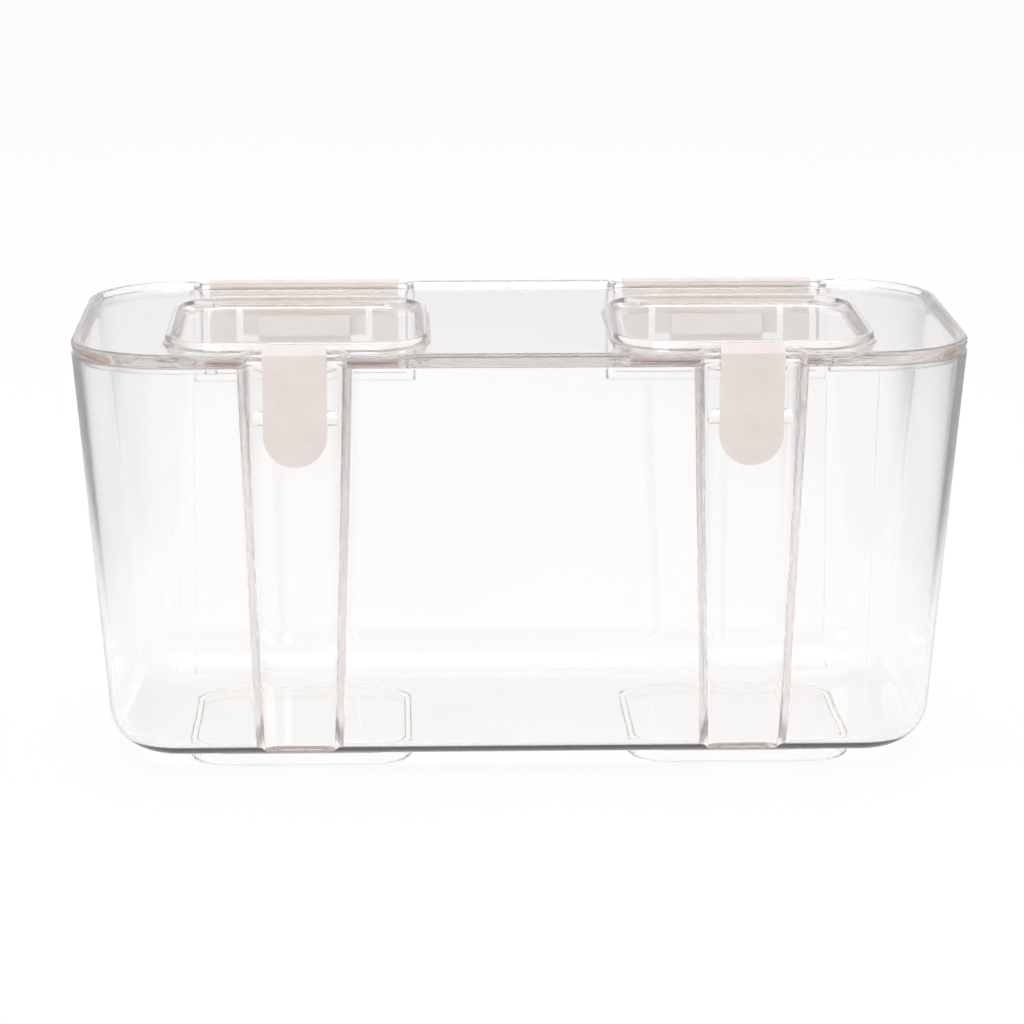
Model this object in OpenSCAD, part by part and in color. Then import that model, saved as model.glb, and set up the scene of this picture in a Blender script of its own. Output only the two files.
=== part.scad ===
// Clear desk organizer: a tapered tub, a hinged lid with two stacking rings,
// two latches at the front and two hinge clips at the rear.
// Millimetres. +Z is up, +Y is the rear, and the origin is under the middle of the whole object.

/* [Lid] */
// Width of the lid
lid_w = 224; // [216:1:250]
// Depth of the lid
lid_d = 109; // [104:1:140]
// Corner radius of the lid in plan
corner_r = 26; // [23:0.5:30]
// Height of the lid's edge
lid_edge_h = 3.2; // [3:0.1:4]
// Thickness of the lid's flat panel
panel_t = 1.8; // [1.4:0.1:2.2]
// Radius along the outer top edge of the lid
edge_r = 0.9; // [0.4:0.1:1.2]
// How far the lid's outer side draws in towards its underside
edge_in = 0.5; // [0.2:0.1:0.8]
// Height over which it draws in
edge_in_h = 1.6; // [1:0.1:1.6]
// Width of the raised border's top
crest_w = 1.5; // [1:0.1:2]
// Width of the slope from the border down to the panel
slope_w = 1.7; // [1:0.1:2.5]
// Length of a corner flange past the corner's arc
flange_run = 11.4; // [6:0.2:14]
// Depth of the corner flanges below the lid
flange_h = 2; // [1.5:0.1:4]
// Thickness of the corner flanges
flange_t = 1.6; // [1.2:0.1:2]

/* [Stacking rings] */
// Distance from the start of a corner's arc to the middle of each ring, latch and hinge
pair_in = 30.1; // [30:0.1:34]
// Width of a stacking ring
ring_w = 66; // [60:0.5:70]
// Depth of a stacking ring
ring_d = 69.5; // [60:0.5:74]
// Corner radius of a stacking ring
ring_r = 15; // [10:0.5:20]
// Distance from the lid's front edge to the rings
ring_setback = 10.8; // [9.5:0.1:14]
// Height of a ring above the panel
ring_h = 2.2; // [1.5:0.1:3]
// Width of a ring's flat top
ring_top_w = 1.6; // [1:0.1:2.5]
// Lean of a ring's outer side
ring_lean = 0.4; // [0.2:0.1:0.8]
// Width of the slope inside a ring
ring_slope = 1.2; // [0.6:0.1:2]
// Drop of the floor inside a ring below the panel
window_drop = 0.3; // [0.2:0.1:0.6]

/* [Tub] */
// Height of the tub without its feet
tub_h = 102.6; // [80:0.2:130]
// Lean of the tub's walls in degrees
draft = 4.7; // [3:0.1:5]
// Thickness of the tub's walls and floor
wall = 2; // [1.6:0.1:2.4]
// Radius between the tub's walls and its floor
base_r = 12; // [9:0.5:12.5]
// Gap between the tub's rim and the lid
seat_gap = 0.3; // [0.2:0.05:0.4]

/* [Feet] */
// Height of the feet
foot_h = 2.8; // [2.6:0.1:4]
// Thickness of a foot's rib
foot_t = 2; // [1.5:0.1:3]
// Play between a foot and the ring of the organizer below
stack_play = 1.5; // [0.8:0.1:2]

/* [Latches] */
// Width of a latch
latch_w = 15.7; // [13:0.1:18]
// Length of a latch below its pivot bar
latch_len = 27; // [24:0.5:34]
// Thickness of a latch
latch_t = 1.6; // [1.2:0.1:1.8]
// Half the depth of a latch's head, which wraps its pivot bar
latch_head_r = 2.86; // [2.8:0.02:3]
// Height of the fold at the front of a latch's head, above the middle of its pivot bar
latch_fold = 1.9; // [1.5:0.1:2.1]
// Slope of the head's top up from the fold, in degrees
latch_slope = 18; // [10:1:20]
// Reach of the head's rounded top from the middle of its pivot bar
latch_top_r = 3.65; // [3.4:0.05:3.7]
// Radius of the pivot bars moulded in the lid
bar_r = 1.2; // [1:0.05:1.3]
// Radial clearance of a clip on its bar
bar_play = 0.06; // [0.03:0.01:0.09]
// Distance from the lid's front edge to the middle of the front bars
front_bar_in = 1.6; // [1.5:0.1:1.9]
// Depth of the front bars' middle below the lid's top
front_bar_down = 1.5; // [1.4:0.1:1.7]
// Width of a front notch, and of the channel below it
notch_w = 23.4; // [21:0.1:26]
// Depth of a front notch, and of the channel below it
notch_d = 5.5; // [5.4:0.1:6]
// Radius in the inner corners of a notch
notch_r = 3.5; // [2:0.1:4.5]
// Lean of each side of a channel in degrees
channel_taper = 1.7; // [0:0.1:2]
// Depth of the catch below the rim
catch_down = 12.2; // [10:0.1:13]
// Height of the catch
catch_h = 3; // [2.5:0.1:3.5]
// Width of the catch
catch_w = 21; // [17:0.5:21]
// Gap between the latch's hook and the catch
catch_gap = 0.35; // [0.3:0.05:0.6]
// How far the latch's hook stands in from the latch
hook_out = 1.3; // [1:0.1:1.6]
// Height of the latch's hook
hook_h = 2; // [1.5:0.1:2.5]

/* [Hinges] */
// Width of a hinge clip
hinge_w = 51; // [46:0.5:52]
// Width of a rear notch
hinge_notch_w = 55.4; // [53.4:0.2:55.8]
// Radius of a hinge clip's barrel
hinge_barrel_r = 2; // [1.9:0.05:2.2]
// Length of a hinge clip below the lid's rear bar
leaf_len = 22; // [20:0.5:28]
// Thickness of a hinge clip's leaf
leaf_t = 1.4; // [1.2:0.1:1.5]
// Gap between a hinge clip's leaf and the tub
leaf_gap = 0.3; // [0.2:0.05:0.4]
// Depth of the recess behind a leaf
recess_d = 1.5; // [1.4:0.1:1.7]
// Width of the hook that holds a leaf in the tub's wall
tongue_w = 24.6; // [20:0.2:28]
// Height of that hook
tongue_h = 5.5; // [4:0.1:6.5]
// Depth of that hook's top below the rear bar
tongue_down = 9; // [8:0.2:10]
// Width of the slots in a leaf
leaf_slot = 1.8; // [1.4:0.1:2.4]
// Distance from a leaf's middle to each slot
leaf_slot_x = 17.5; // [16.5:0.1:19]

/* [Hidden] */
$fn = 96;
clear_plastic = [0.93, 0.92, 0.91, 0.35];
latch_plastic = [0.91, 0.88, 0.87];
hinge_plastic = [0.84, 0.80, 0.78];
over = 1;         // how far a cutting shape reaches past what it cuts
sink = 0.5;       // how far a raised shape is sunk into what carries it

front_out = latch_head_r * cos(draft) + latch_fold * sin(draft) - front_bar_in;
rear_bar_in = lid_edge_h / 2;
rear_out = hinge_barrel_r - rear_bar_in;
shift_y = (front_out - rear_out) / 2;
front_y = shift_y - lid_d / 2;
rear_y = shift_y + lid_d / 2;

corner_x = lid_w / 2 - corner_r;
corner_y = lid_d / 2 - corner_r;
pair_x = corner_x - pair_in;
lean = tan(draft);
wall_across = wall / cos(draft);

rim_z = foot_h + tub_h;
lid_z = rim_z + seat_gap;
crest_z = lid_z + lid_edge_h;
panel_z = lid_z + panel_t;
ring_z = panel_z + ring_h;
window_z = panel_z - window_drop;

front_bar_y = front_y + front_bar_in;
front_bar_z = crest_z - front_bar_down;
rear_bar_y = rear_y - rear_bar_in;
rear_bar_z = lid_z + lid_edge_h / 2;
clip_bore_r = bar_r + bar_play;
mouth_w = 1.5 * bar_r;

ring_y = front_y + ring_setback + ring_d / 2;
ring_inset = ring_lean + ring_top_w + ring_slope;
foot_w = ring_w - 2 * ring_inset - 2 * stack_play;
foot_d = ring_d - 2 * ring_inset - 2 * stack_play;
foot_r = ring_r - ring_inset - stack_play / 2;

rear_notch_d = rear_bar_in + hinge_barrel_r + 0.5;
rear_relief = rim_z + leaf_gap - rear_bar_z + hinge_barrel_r;
rear_relief_w = hinge_notch_w + 0.4;
recess_h = leaf_len - (rear_bar_z - rim_z) + 1;
tongue_play = 0.3;
tongue_lip = 0.8;

latch_face = latch_head_r - latch_t;
catch_out = notch_d - front_bar_in + latch_face - hook_out - catch_gap;

// Sweeps a section round a rounded rectangle: the section's x runs outward from
// the corner centres, which lie at (+-cx, +-cy)
module round_sweep(cx, cy) {
    for (turn = [0, 180]) rotate([0, 0, turn]) {
        translate([cx, cy, 0]) rotate_extrude(angle = 90) children();
        translate([-cx, cy, 0]) rotate([0, 0, 90]) rotate_extrude(angle = 90) children();
        translate([cx, cy, 0]) rotate([90, 0, 0]) linear_extrude(2 * cy) children();
        translate([-cx, cy, 0]) rotate([90, 0, 90]) linear_extrude(2 * cx) children();
    }
}

// A box between the corner centres, which fills the middle of a swept shape
module middle_block(cx, cy, low, high) {
    translate([-cx, -cy, low]) cube([2 * cx, 2 * cy, high - low]);
}

// A rounded rectangle in plan, w by d with corners of radius r
module plan(w, d, r) {
    square([w - 2 * r, d], center = true);
    square([w, d - 2 * r], center = true);
    for (x = [-1, 1], y = [-1, 1]) translate([x * (w / 2 - r), y * (d / 2 - r)]) circle(r);
}

// A slot in plan, w wide and d deep in +Y, with rounded inner corners, open towards -Y
module slot(w, d, r, open) {
    intersection() {
        union() {
            translate([-w / 2, -open]) square([w, open + d - r]);
            translate([r - w / 2, -open]) square([w - 2 * r, open + d]);
            for (s = [-1, 1]) translate([s * (w / 2 - r), d - r]) circle(r);
        }
        translate([-w / 2, -open]) square([w, open + d]);
    }
}

// Both of a pair, left and right of the middle
module pair() {
    for (s = [-1, 1]) translate([s * pair_x, 0, 0]) children();
}

// Radius of the tub's outer face about a corner centre, at height z above its underside
function outer_r(z) = corner_r - (tub_h - z) * lean;

// Section of the solid tub, drawn in by inset on every side
module tub_section(inset) {
    r = base_r - inset;
    centre = outer_r(base_r) - base_r / cos(draft);
    top = tub_h + (inset > 0 ? over : 0);
    across = inset / cos(draft);
    polygon([
        [0, inset],
        [centre, inset],
        [centre + r * cos(draft), base_r - r * sin(draft)],
        [outer_r(top) - across, top],
        [0, top]
    ]);
    intersection() {
        translate([centre, base_r]) circle(r);
        square([corner_r, base_r]);
    }
}

module tub_solid(inset) {
    round_sweep(corner_x, corner_y) tub_section(inset);
    middle_block(corner_x, corner_y, inset, tub_h + (inset > 0 ? over : 0));
}

// Tapered channel behind a latch, grown by the wall where grow is set
module channel(grow) {
    intersection_for (s = [-1, 1])
        translate([0, front_y - shift_y, tub_h]) rotate([draft, 0, 0]) rotate([0, s * channel_taper, 0])
            translate([0, 0, -tub_h - 20]) linear_extrude(tub_h + 40)
                slot(notch_w + 2 * grow, notch_d + grow, notch_r + grow, 20);
}

// Recess behind a hinge clip's leaf, grown by the wall where grow is set
module recess(grow) {
    translate([0, rear_y - shift_y, tub_h]) rotate([-draft, 0, 0]) rotate([0, 0, 180])
        translate([0, 0, -recess_h - grow]) linear_extrude(recess_h + grow + 20)
            slot(hinge_notch_w + 2 * grow, recess_d + grow, recess_d / 2 + grow, 20);
}

// Catch that the latch snaps over, sloped on top and flat below
module catch_bar() {
    top = -catch_down;
    translate([-catch_w / 2, front_y - shift_y, tub_h]) rotate([draft, 0, 0]) rotate([90, 0, 90])
        linear_extrude(catch_w) polygon([
            [notch_d + sink, top],
            [notch_d - catch_out * 0.4, top],
            [notch_d - catch_out, top - catch_h * 0.55],
            [notch_d - catch_out, top - catch_h],
            [notch_d + sink, top - catch_h]
        ]);
}

// Window in the rear wall for a hinge clip's hook
module tongue_window() {
    w = tongue_w + 2 * tongue_play;
    h = tongue_h + 2 * tongue_play;
    down = rear_bar_z - rim_z - tongue_down;
    translate([0, rear_y - shift_y, tub_h]) rotate([-draft, 0, 0])
        translate([-w / 2, -wall - recess_d - over, down - tongue_h - tongue_play])
            cube([w, wall + recess_d + 2 * over, h]);
}

// Rounded rib that the tub stands on, which drops into a ring of the lid below
module foot() {
    translate([0, ring_y - shift_y, -foot_h]) linear_extrude(foot_h + wall / 2) difference() {
        plan(foot_w, foot_d, foot_r);
        plan(foot_w - 2 * foot_t, foot_d - 2 * foot_t, foot_r - foot_t);
    }
}

module tub() {
    color(clear_plastic) translate([0, shift_y, foot_h]) {
        difference() {
            tub_solid(0);
            difference() {
                tub_solid(wall);
                pair() channel(wall);
                pair() recess(wall);
            }
            pair() channel(0);
            pair() recess(0);
            pair() tongue_window();
            pair() translate([-rear_relief_w / 2, rear_y - shift_y - 6, tub_h - rear_relief])
                cube([rear_relief_w, 12, rear_relief + over]);
        }
        pair() catch_bar();
        pair() foot();
    }
}

// Section of the lid's edge: raised border, slope and panel
module lid_section() {
    polygon([
        [0, 0],
        [corner_r, 0],
        [corner_r, lid_edge_h],
        [corner_r - crest_w, lid_edge_h],
        [corner_r - crest_w - slope_w, panel_t],
        [0, panel_t]
    ]);
}

// Everything of the lid stays inside this shape, rounded above and drawn in below
module edge_space() {
    low = -10;
    round_sweep(corner_x, corner_y) {
        polygon([
            [0, low],
            [corner_r - edge_in, low],
            [corner_r - edge_in, 0],
            [corner_r, edge_in_h],
            [corner_r, lid_edge_h - edge_r],
            [corner_r - edge_r, lid_edge_h],
            [0, lid_edge_h]
        ]);
        translate([corner_r - edge_r, lid_edge_h - edge_r]) circle(edge_r);
    }
    middle_block(corner_x, corner_y, low, lid_edge_h);
}

// Section of a stacking ring, with its foot sunk in the panel
module ring_section() {
    polygon([
        [ring_r - ring_inset, -sink],
        [ring_r, -sink],
        [ring_r, 0],
        [ring_r - ring_lean, ring_h],
        [ring_r - ring_lean - ring_top_w, ring_h],
        [ring_r - ring_inset, -window_drop]
    ]);
}

// Raised collar that carries the border round a notch
module collar(w, d, r) {
    linear_extrude(lid_edge_h) slot(w + 2 * crest_w, d + crest_w, r + crest_w, 0);
}

// Everything of the lid that turns past the rear bar stays inside a round nose
module rear_nose_space() {
    reach = lid_w + 2 * over;
    rear = lid_d / 2 - rear_bar_in;
    translate([-reach / 2, -lid_d, -10]) cube([reach, lid_d + rear, 30]);
    translate([-reach / 2, rear, lid_edge_h / 2]) rotate([0, 90, 0]) cylinder(r = rear_bar_in, h = reach);
}

// Flanges under the corners, which keep the lid in place on the tub. At the rear they end with
// the corner's arc, because the tub's wall steps in there behind the hinge clips.
module corner_flanges() {
    outer = corner_r - wall_across - 0.5;
    long = 2 * (corner_r + flange_run);
    intersection() {
        round_sweep(corner_x, corner_y) translate([outer - flange_t, -flange_h])
            square([flange_t, flange_h + sink]);
        union() {
            for (x = [-1, 1]) translate([x * lid_w / 2, -lid_d / 2, 0]) cube([long, long, 20], center = true);
            for (x = [-1, 1]) translate([x * lid_w / 2, lid_d / 2, 0])
                cube([2 * corner_r, long, 20], center = true);
        }
    }
}

// Pivot bar across a notch, moulded in one with the lid
module pivot_bar(w, y, z) {
    translate([-w / 2 - sink, y, z]) rotate([0, 90, 0]) cylinder(r = bar_r, h = w + 2 * sink);
}

module lid() {
    ring_local_y = ring_y - shift_y;
    ring_cx = ring_w / 2 - ring_r;
    ring_cy = ring_d / 2 - ring_r;
    color(clear_plastic) translate([0, shift_y, lid_z]) {
        difference() {
            intersection() {
                union() {
                    round_sweep(corner_x, corner_y) lid_section();
                    middle_block(corner_x, corner_y, 0, panel_t);
                    pair() translate([0, -lid_d / 2, 0]) collar(notch_w, notch_d, notch_r);
                    pair() translate([0, lid_d / 2, 0]) rotate([0, 0, 180])
                        collar(hinge_notch_w, rear_notch_d, recess_d / 2);
                    pair() translate([0, ring_local_y, -window_drop])
                        linear_extrude(panel_t) plan(ring_w, ring_d, ring_r);
                    corner_flanges();
                }
                rear_nose_space();
                edge_space();
            }
            pair() translate([0, ring_local_y, panel_t - window_drop]) linear_extrude(20)
                plan(ring_w - 2 * ring_inset, ring_d - 2 * ring_inset, ring_r - ring_inset);
            pair() translate([0, -lid_d / 2, -10]) linear_extrude(30) slot(notch_w, notch_d, notch_r, 20);
            pair() translate([0, lid_d / 2, -10]) rotate([0, 0, 180]) linear_extrude(30)
                slot(hinge_notch_w, rear_notch_d, recess_d / 2, 20);
        }
        pair() translate([0, ring_local_y, panel_t]) round_sweep(ring_cx, ring_cy) ring_section();
        pair() pivot_bar(notch_w, front_bar_y - shift_y, front_bar_z - lid_z);
        pair() pivot_bar(hinge_notch_w, rear_bar_y - shift_y, rear_bar_z - lid_z);
    }
}

// Side view of a latch in its own leaning frame: its x runs to the rear and its y runs up,
// from the pivot bar's middle
module latch_side() {
    r = latch_head_r;
    intersection() {
        circle(latch_top_r);
        polygon([
            [-r, -r],
            [-r, latch_fold],
            [r, latch_fold + 2 * r * tan(latch_slope)],
            [r, -r / 2],
            [r / 2, -r]
        ]);
    }
    translate([-r, -latch_len]) square([latch_t, latch_len]);
}

// Hook on the inner side of a latch, which holds under the catch
module latch_hook() {
    top = rim_z - front_bar_z - catch_down - catch_h - catch_gap;
    translate([-latch_w / 2, 0, 0]) rotate([draft, 0, 0]) rotate([90, 0, 90]) linear_extrude(latch_w)
        polygon([
            [-latch_face - sink, top],
            [hook_out - latch_face, top],
            [hook_out - latch_face, top - hook_h / 2],
            [-latch_face - sink, top - hook_h]
        ]);
}

// Front outline of a latch, with a full-round tip
module latch_front() {
    r = latch_w / 2;
    tip = -latch_len * cos(draft) + 0.1;
    translate([-r, tip + r]) square([latch_w, latch_len + latch_top_r + over]);
    translate([0, tip + r]) circle(r);
}

module latch() {
    color(latch_plastic) translate([0, front_bar_y, front_bar_z]) difference() {
        union() {
            intersection() {
                translate([-latch_w / 2, 0, 0]) rotate([draft, 0, 0]) rotate([90, 0, 90])
                    linear_extrude(latch_w) latch_side();
                translate([0, 20, 0]) rotate([90, 0, 0]) linear_extrude(40) latch_front();
            }
            latch_hook();
        }
        translate([-latch_w / 2 - over, 0, 0]) rotate([0, 90, 0])
            cylinder(r = clip_bore_r, h = latch_w + 2 * over);
        translate([-latch_w / 2 - over, 0, -mouth_w / 2]) cube([latch_w + 2 * over, 10, mouth_w]);
    }
}

module latch_left() {
    translate([-pair_x, 0, 0]) latch();
}

module latch_right() {
    translate([pair_x, 0, 0]) latch();
}

// One side of the slots that free the middle of a leaf
module leaf_cut() {
    top = -4.5;
    bottom = -tongue_down - tongue_h - leaf_slot;
    translate([leaf_slot_x - leaf_slot / 2, bottom]) square([leaf_slot, top - bottom]);
    translate([leaf_slot_x - 5, bottom]) square([5, leaf_slot]);
}

// Hinge clip: a barrel on the lid's rear bar, and a leaf hooked into the tub's rear wall
module hinge_clip() {
    face = rear_bar_in - recess_d + leaf_gap;
    color(hinge_plastic) translate([0, rear_bar_y, rear_bar_z]) difference() {
        union() {
            translate([-hinge_w / 2, 0, 0]) rotate([0, 90, 0]) cylinder(r = hinge_barrel_r, h = hinge_w);
            rotate([-draft, 0, 0]) {
                difference() {
                    translate([-hinge_w / 2, face, -leaf_len]) cube([hinge_w, leaf_t, leaf_len]);
                    for (s = [0, 1]) mirror([s, 0, 0])
                        translate([0, 10, 0]) rotate([90, 0, 0]) linear_extrude(20) leaf_cut();
                }
                translate([-tongue_w / 2, face - leaf_gap - wall - tongue_lip, -tongue_down - tongue_h])
                    cube([tongue_w, leaf_gap + wall + tongue_lip + sink, tongue_h]);
            }
        }
        translate([-hinge_w / 2 - over, 0, 0]) rotate([0, 90, 0])
            cylinder(r = clip_bore_r, h = hinge_w + 2 * over);
        rotate([45, 0, 0]) translate([-hinge_w / 2 - over, -10, -mouth_w / 2])
            cube([hinge_w + 2 * over, 10, mouth_w]);
    }
}

module hinge_left() {
    translate([-pair_x, 0, 0]) hinge_clip();
}

module hinge_right() {
    translate([pair_x, 0, 0]) hinge_clip();
}

tub();
lid();
latch_left();
latch_right();
hinge_left();
hinge_right();
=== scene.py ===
"""A clear desk organizer: tub, lid with two stacking rings, two latches and two hinge clips.

Lengths are in millimetres in the helpers and become metres when a mesh is made. The frame's boxes
give the places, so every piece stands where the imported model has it.
"""
import math

import bmesh
import bpy
from mathutils import Matrix, Vector


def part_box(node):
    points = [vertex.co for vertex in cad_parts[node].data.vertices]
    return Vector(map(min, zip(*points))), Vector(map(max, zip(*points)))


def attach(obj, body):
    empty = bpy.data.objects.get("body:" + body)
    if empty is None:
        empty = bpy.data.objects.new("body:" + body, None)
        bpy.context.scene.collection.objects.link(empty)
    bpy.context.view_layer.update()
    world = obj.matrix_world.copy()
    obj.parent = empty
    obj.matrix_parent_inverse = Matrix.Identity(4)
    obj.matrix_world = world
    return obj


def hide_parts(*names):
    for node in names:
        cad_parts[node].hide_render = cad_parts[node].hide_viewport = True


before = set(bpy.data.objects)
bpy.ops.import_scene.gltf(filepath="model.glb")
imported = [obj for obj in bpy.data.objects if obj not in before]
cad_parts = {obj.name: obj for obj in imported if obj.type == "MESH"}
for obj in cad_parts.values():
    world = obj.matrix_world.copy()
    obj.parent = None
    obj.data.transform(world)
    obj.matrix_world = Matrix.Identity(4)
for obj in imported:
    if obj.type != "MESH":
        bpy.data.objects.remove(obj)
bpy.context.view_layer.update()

MM = 0.001

# Lid
CORNER_R = 26.0
EDGE_H = 3.2
EDGE_R = 0.9
EDGE_IN = 0.5
EDGE_IN_H = 1.6
PANEL_T = 1.8
CREST_W = 1.5
SLOPE_W = 1.7
FLANGE_H = 2.0
FLANGE_T = 1.6
FLANGE_RUN = 11.4
FLANGE_PLAY = 0.5
FLANGE_BURIED = 0.4

# Stacking rings
RING_W = 66.0
RING_D = 69.5
RING_R = 15.0
RING_SETBACK = 10.8
RING_H = 2.2
RING_TOP_W = 1.6
RING_LEAN = 0.4
RING_SLOPE = 1.2
WINDOW_DROP = 0.3

# Tub
WALL = 2.0
DRAFT = math.radians(4.7)
BASE_R = 12.0
SEAM_RISE = 0.06
SEAM_START = 0.8
SEAM_FAN = 1.6
SEAT_GAP = 0.3
FOOT_H = 2.8
FOOT_T = 2.0
STACK_PLAY = 1.5

# Notches, channels and recesses
NOTCH_W = 23.4
NOTCH_D = 5.5
NOTCH_R = 3.5
LIP_R = 1.8
INNER_LIP_R = 0.7
NOTCH_SIDE = 0.2
LIP_CLEAR = 0.3
CHANNEL_TAPER = math.radians(1.7)
HINGE_NOTCH_W = 55.4
RECESS_D = 1.5
RECESS_R = 0.75
RECESS_H = 21.1
RECESS_EDGE = 0.8
RIM_RELIEF = 0.2
BAR_R = 1.2
BAR_BURIED = 0.4
FRONT_BAR_IN = 1.6
FRONT_BAR_DOWN = 1.5
CATCH_DOWN = 12.2
CATCH_H = 3.0
CATCH_W = 21.0
CATCH_OUT = 3.51

# Clips
LATCH_W = 15.7
LATCH_LEN = 27.0
LATCH_T = 1.6
LATCH_HEAD_R = 2.86
LATCH_FOLD = 1.9
LATCH_TOP_R = 3.65
LATCH_TOP_ARC = (65.5, 38.5)
BORE_R = 1.26
MOUTH_W = 1.8
HOOK_OUT = 1.3
HOOK_H = 2.0
HOOK_DOWN = 17.55
HINGE_W = 51.0
HINGE_BARREL_R = 1.99
HINGE_MOUTH_AT = 225
LEAF_LEN = 22.0
LEAF_T = 1.4
LEAF_GAP = 0.3
TONGUE_W = 24.6
TONGUE_H = 5.5
TONGUE_DOWN = 9.0
TONGUE_LIP = 0.8
LEAF_SLOT = 1.8
LEAF_SLOT_X = 17.5
LEAF_SLOT_DOWN = 4.5
LEAF_SLOT_TOE = 5.0

# Clear plastic, and the painted shade on the tub's base edge
CLEAR_SHARE = 0.965
CLEAR_IOR = 1.5
DEPTH_TINT = (0.46, 0.17, 0.04)
DEPTH_DENSITY = 3.0
SHADOW_TINT = (0.96, 0.955, 0.95)
PAINTED_SHADE_COLOUR = (0.085, 0.08, 0.095)
PAINTED_SHADE_LEVEL = 0.1

# Frosted plastics: the pale and the deep colour, and the share of light that goes in
LATCH_COLOURS = ((0.80, 0.725, 0.69), (0.745, 0.675, 0.645))
LATCH_TRANSLUCENCY = 0.4
HINGE_COLOURS = ((0.83, 0.73, 0.665), (0.76, 0.66, 0.60))
HINGE_TRANSLUCENCY = 0.3

# Camera, fitted to the lid's outline in the photograph: place, and turns in degrees
LENS = 131.84
CAMERA_AT = (-30.9, -950.8, 278.4)
CAMERA_DOWN = 13.112
CAMERA_ACROSS = 1.789
CAMERA_ROLL = -0.052

# Share of plain white in the floor, seen straight and by way of the plastic
FLOOR_WHITE = 0.86
FLOOR_WHITE_THROUGH = 0.75

# Seen through the plastic, the table turns dark between these distances in metres to either side,
# which draws the clear plastic's outlines
TABLE_END = (0.165, 0.28)
TABLE_END_GREY = 0.34

# Strength of the studio's light from in front, where the light from behind has 1
SKY_FRONT = 0.62

# Places taken from the frame
lid_low, lid_high = (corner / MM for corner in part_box("lid"))
tub_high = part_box("tub")[1] / MM
latch_low, latch_high = (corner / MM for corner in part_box("latch_right"))
HALF_W = lid_high.x
FRONT_Y = lid_low.y
REAR_Y = lid_high.y
HALF_D = (REAR_Y - FRONT_Y) / 2
MID_Y = (REAR_Y + FRONT_Y) / 2
PAIR_X = (latch_low.x + latch_high.x) / 2
RIM_Z = tub_high.z
UNDER_Z = FOOT_H
TUB_H = RIM_Z - UNDER_Z
LID_Z = RIM_Z + SEAT_GAP
CREST_Z = LID_Z + EDGE_H
CORNER_X = HALF_W - CORNER_R
CORNER_Y = HALF_D - CORNER_R
RING_Y = FRONT_Y + RING_SETBACK + RING_D / 2
RING_INSET = RING_LEAN + RING_TOP_W + RING_SLOPE
FRONT_BAR = (FRONT_Y + FRONT_BAR_IN, CREST_Z - FRONT_BAR_DOWN)
REAR_BAR = (REAR_Y - EDGE_H / 2, LID_Z + EDGE_H / 2)
LEAN = math.tan(DRAFT)
ACROSS = WALL / math.cos(DRAFT)


# Outlines

def arc(centre, radius, start, end, steps):
    """Points on an arc between two angles in degrees, both ends included."""
    cx, cy = centre
    angles = [math.radians(start + (end - start) * i / steps) for i in range(steps + 1)]
    return [(cx + radius * math.cos(a), cy + radius * math.sin(a)) for a in angles]


def straight(a, b, steps):
    """Points on a straight line from a to b, both ends left out, crowded near the ends."""
    shares = [0.02, 0.08] + [0.08 + 0.84 * i / steps for i in range(1, steps)] + [0.92, 0.98]
    return [(a[0] + (b[0] - a[0]) * t, a[1] + (b[1] - a[1]) * t) for t in shares]


def notch_path(half_w, depth, full, inner_r, lip_r):
    """A notch seen along its side of the outline: u runs with the side and v runs inward.

    Its flanks keep a short straight part, however large the inner radius is asked.
    """
    inner_r = min(inner_r, full - lip_r - NOTCH_SIDE)
    lip = [(-half_w - lip_r + lip_r * math.sin(a), lip_r - lip_r * math.cos(a))
           for a in (math.radians(90 * i / 6) for i in range(7))]
    inner = [(-half_w + inner_r - inner_r * math.cos(a), full - inner_r + inner_r * math.sin(a))
             for a in (math.radians(90 * i / 10) for i in range(11))]
    side = [((lip[-1][0] + inner[0][0]) / 2, (lip[-1][1] + inner[0][1]) / 2)]
    floor = straight((-half_w + inner_r, full), (half_w - inner_r, full), 4)
    left = lip + side + inner
    right = [(-u, v) for u, v in reversed(left)]
    squeeze = depth / full
    return [(u, v * squeeze) for u, v in left + floor + right]


def front_corner(centre, spread, start, seam):
    """A front corner's arc, with a fine raised line of height seam[1] at seam[0] degrees."""
    at, rise = seam
    points = arc(centre, spread, start, start + 90, 24)
    line = [arc(centre, spread + up, at + turn, at + turn, 1)[0] for turn, up in
            ((-0.5, 0), (-0.2, rise), (0.2, rise), (0.5, 0))]
    after = 24 if at < 270 else 1
    return points[:after] + line + points[after:]


def outline(spread, front, rear, seam=(2.0, 0.0)):
    """A closed outline about the corner centres, counter-clockwise from above.

    spread is the corner radius. front and rear are the arguments of notch_path for each side.
    seam places the fine line at each front corner: degrees past the corner's start, and height.
    """
    hx, hy = CORNER_X + spread, CORNER_Y + spread
    front_path, rear_path = notch_path(*front), notch_path(*rear)
    turn, rise = seam
    points = []
    points += front_corner((-CORNER_X, -CORNER_Y), spread, 180, (270 - turn, rise))
    last = (-CORNER_X, -hy)
    for x in (-PAIR_X, PAIR_X):
        path = [(x + u, v - hy) for u, v in front_path]
        points += straight(last, path[0], 5) + path
        last = path[-1]
    points += straight(last, (CORNER_X, -hy), 5)
    points += front_corner((CORNER_X, -CORNER_Y), spread, 270, (270 + turn, rise))
    points += straight((hx, -CORNER_Y), (hx, CORNER_Y), 6)
    points += arc((CORNER_X, CORNER_Y), spread, 0, 90, 24)
    last = (CORNER_X, hy)
    for x in (PAIR_X, -PAIR_X):
        path = [(x - u, hy - v) for u, v in rear_path]
        points += straight(last, path[0], 5) + path
        last = path[-1]
    points += straight(last, (-CORNER_X, hy), 5)
    points += arc((-CORNER_X, CORNER_Y), spread, 90, 180, 24)
    points += straight((-hx, CORNER_Y), (-hx, -CORNER_Y), 6)
    return points


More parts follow.
